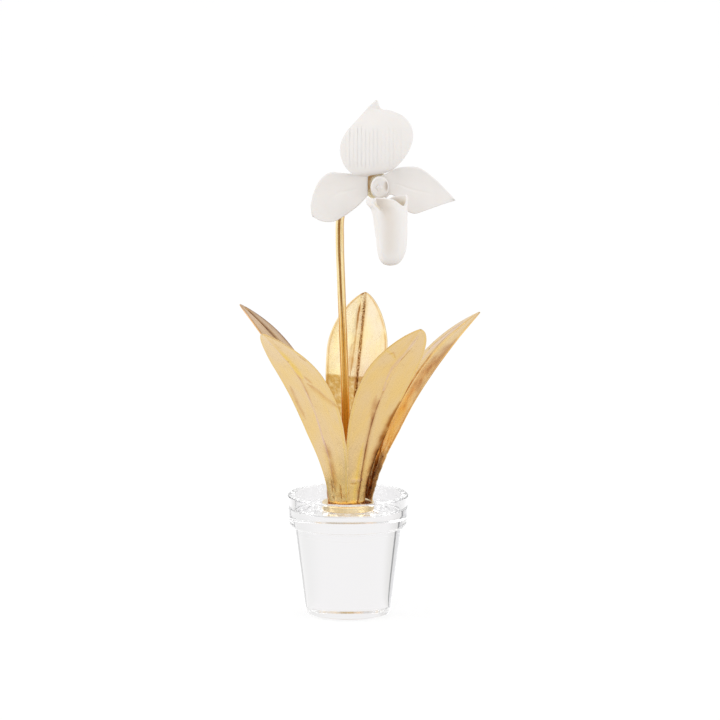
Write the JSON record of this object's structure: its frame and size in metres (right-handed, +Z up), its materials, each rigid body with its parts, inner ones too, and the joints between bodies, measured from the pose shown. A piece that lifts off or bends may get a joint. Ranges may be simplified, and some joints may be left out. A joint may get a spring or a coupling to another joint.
{
  "type": "slipper orchid ornament in a glass flowerpot",
  "caption": "White porcelain slipper orchid bloom on an arched gilt stem, with broad gilt leaves on a round base disc set in the shallow well of a solid clear glass flowerpot.",
  "frame": {"origin": "centre of the pot's flat underside, on the surface it stands on", "axes": "+Z up through the pot and the stem; -Y is the side the bloom faces; +X is to the right of someone facing the bloom"},
  "size_m": [0.1525, 0.1391, 0.3279],
  "materials": {
    "glass": "clear polished solid glass",
    "gilt": "gold leaf on brass, satin with fine wrinkles and lengthwise scratches",
    "bisque": "matt unglazed porcelain, warm white"
  },
  "bodies": {
    "root": {"pot": "glass", "base_disc": "gilt", "stem": "gilt", "leaf_front_left": "gilt", "leaf_front_right": "gilt", "leaf_right": "gilt", "leaf_back": "gilt", "leaf_back_left": "gilt", "calyx": "gilt", "column": "bisque", "dorsal_sepal": "bisque", "petal_left": "bisque", "petal_right": "bisque", "pouch": "bisque"}
  },
  "joints": []
}
